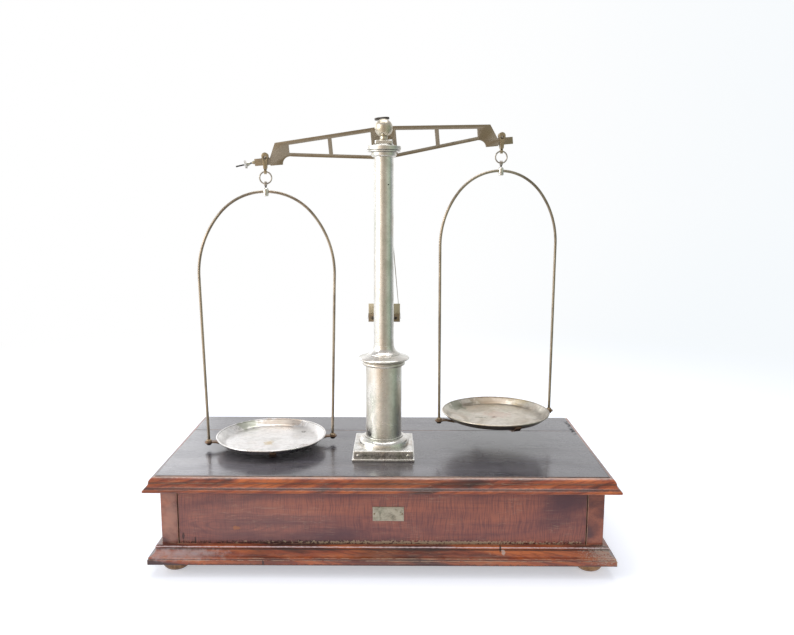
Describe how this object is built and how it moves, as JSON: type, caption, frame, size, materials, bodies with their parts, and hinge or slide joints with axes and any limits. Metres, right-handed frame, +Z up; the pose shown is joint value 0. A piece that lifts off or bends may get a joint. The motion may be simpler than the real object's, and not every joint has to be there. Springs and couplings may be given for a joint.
{
  "type": "column balance",
  "caption": "Equal-arm column balance: pierced beam on knife edges, two hanging pans on wire bows, wooden case.",
  "frame": {"origin": "on the table, under the middle of the case", "axes": "+X right as seen from the side where the column stands before the beam, +Y back, +Z up"},
  "size_m": [0.4756, 0.2306, 0.4644],
  "materials": {
    "ebonised_wood": "black polish, scratched",
    "stained_mahogany": "french polish, worn",
    "inner_pine": "bare wood",
    "foot_wood": "oiled, worn",
    "nameplate_metal": "dulled nickel",
    "nickel_plate": "worn nickel plate",
    "pan_nickel": "worn nickel plate, spotted",
    "agate": "polished",
    "beam_brass": "dull tarnish",
    "index_enamel": "silvered, engraved",
    "bow_brass": "brown tarnish",
    "dark_steel": "blued",
    "steel": "bright, slightly rusted"
  },
  "bodies": {
    "case": {"top_board_front": "ebonised_wood", "top_board_rear": "ebonised_wood", "top_mouldings_long": "stained_mahogany", "top_mouldings_end": "stained_mahogany", "front_panel": "stained_mahogany", "back_panel": "stained_mahogany", "left_side": "stained_mahogany", "right_side": "stained_mahogany", "bottom_board": "inner_pine", "base_mouldings_long": "stained_mahogany", "base_mouldings_end": "stained_mahogany", "glue_blocks": "inner_pine", "top_battens": "inner_pine", "feet": "foot_wood", "nameplate": "nameplate_metal", "nameplate_pins": "nameplate_metal", "plinth": "nickel_plate", "plinth_pins": "nickel_plate", "pedestal": "nickel_plate", "cornice": "nickel_plate", "column_tube": "nickel_plate", "capital": "nickel_plate", "cap_dome": "nickel_plate", "bearing_arm": "nickel_plate", "bearing_plate": "agate", "ball_finial": "nickel_plate", "tie_rod": "steel", "rod_washer": "steel", "rod_nut": "steel", "index_bracket": "beam_brass", "index_block": "beam_brass", "index_plate": "index_enamel", "index_screws": "dark_steel"},
    "beam": {"beam": "beam_brass", "centre_knife": "steel", "end_knives": "steel", "pointer": "steel", "sensitivity_screw": "steel", "balance_screw": "dark_steel"},
    "sensitivity_nut": {"sensitivity_nut": "dark_steel"},
    "balance_nut": {"balance_nut": "nickel_plate"},
    "shackle_left": {"shackle_left": "beam_brass"},
    "ring_left": {"ring_left": "steel"},
    "eye_left": {"swivel_eye_left": "steel"},
    "hanger_left": {"swivel_block_left": "nickel_plate", "bow_left": "bow_brass", "bow_nuts_left": "bow_brass", "long_strip_left": "bow_brass", "cross_strip_left": "bow_brass"},
    "pan_left": {"pan_left": "pan_nickel"},
    "shackle_right": {"shackle_right": "beam_brass"},
    "ring_right": {"ring_right": "steel"},
    "eye_right": {"swivel_eye_right": "steel"},
    "hanger_right": {"swivel_block_right": "nickel_plate", "bow_right": "bow_brass", "bow_nuts_right": "bow_brass", "long_strip_right": "bow_brass", "cross_strip_right": "bow_brass"},
    "pan_right": {"pan_right": "pan_nickel"}
  },
  "joints": [
    {"name": "beam_tilt", "type": "hinge", "parent": "case", "child": "beam", "pos_m": [0, 0, 0.4342], "axis": [-0.0698, 0.9976, 0], "range_deg": [0, 10.4]},
    {"name": "sensitivity_nut_screw", "type": "slide", "parent": "beam", "child": "sensitivity_nut", "axis": [-0.0904, -0.0063, 0.9959], "range_m": [-0.004, 0]},
    {"name": "balance_nut_screw", "type": "slide", "parent": "beam", "child": "balance_nut", "axis": [-0.9712, -0.0679, -0.2284], "range_m": [-0.002, 0.008]},
    {"name": "shackle_left_pivot", "type": "hinge", "parent": "beam", "child": "shackle_left", "pos_m": [-0.12617, -0.00882, 0.42269], "axis": [-0.0698, 0.9976, 0], "range_deg": [-10.4, 0]},
    {"name": "ring_left_swing", "type": "hinge", "parent": "shackle_left", "child": "ring_left", "pos_m": [-0.12617, -0.00882, 0.40649], "axis": [0.9976, 0.0698, 0], "range_deg": [-2, 2]},
    {"name": "eye_left_swing", "type": "hinge", "parent": "ring_left", "child": "eye_left", "pos_m": [-0.12617, -0.00882, 0.39389], "axis": [-0.0698, 0.9976, 0], "range_deg": [-2, 2]},
    {"name": "bow_left_turn", "type": "hinge", "parent": "eye_left", "child": "hanger_left", "pos_m": [-0.12617, -0.00882, 0.38949], "axis": [0, 0, 1], "continuous": true},
    {"name": "pan_left_lift", "type": "slide", "parent": "hanger_left", "child": "pan_left", "axis": [0, 0, 1], "range_m": [0, 0.025]},
    {"name": "shackle_right_pivot", "type": "hinge", "parent": "beam", "child": "shackle_right", "pos_m": [0.12617, 0.00882, 0.44571], "axis": [-0.0698, 0.9976, 0], "range_deg": [-10.4, 0]},
    {"name": "ring_right_swing", "type": "hinge", "parent": "shackle_right", "child": "ring_right", "pos_m": [0.12617, 0.00882, 0.42951], "axis": [0.9976, 0.0698, 0], "range_deg": [-2, 2]},
    {"name": "eye_right_swing", "type": "hinge", "parent": "ring_right", "child": "eye_right", "pos_m": [0.12617, 0.00882, 0.41691], "axis": [-0.0698, 0.9976, 0], "range_deg": [-2, 2]},
    {"name": "bow_right_turn", "type": "hinge", "parent": "eye_right", "child": "hanger_right", "pos_m": [0.12617, 0.00882, 0.41251], "axis": [0, 0, 1], "continuous": true},
    {"name": "pan_right_lift", "type": "slide", "parent": "hanger_right", "child": "pan_right", "axis": [0, 0, 1], "range_m": [0, 0.025]}
  ],
  "couplings": [
    {"joint": "shackle_left_pivot", "follows": "beam_tilt", "ratio": -1},
    {"joint": "shackle_right_pivot", "follows": "beam_tilt", "ratio": -1}
  ]
}
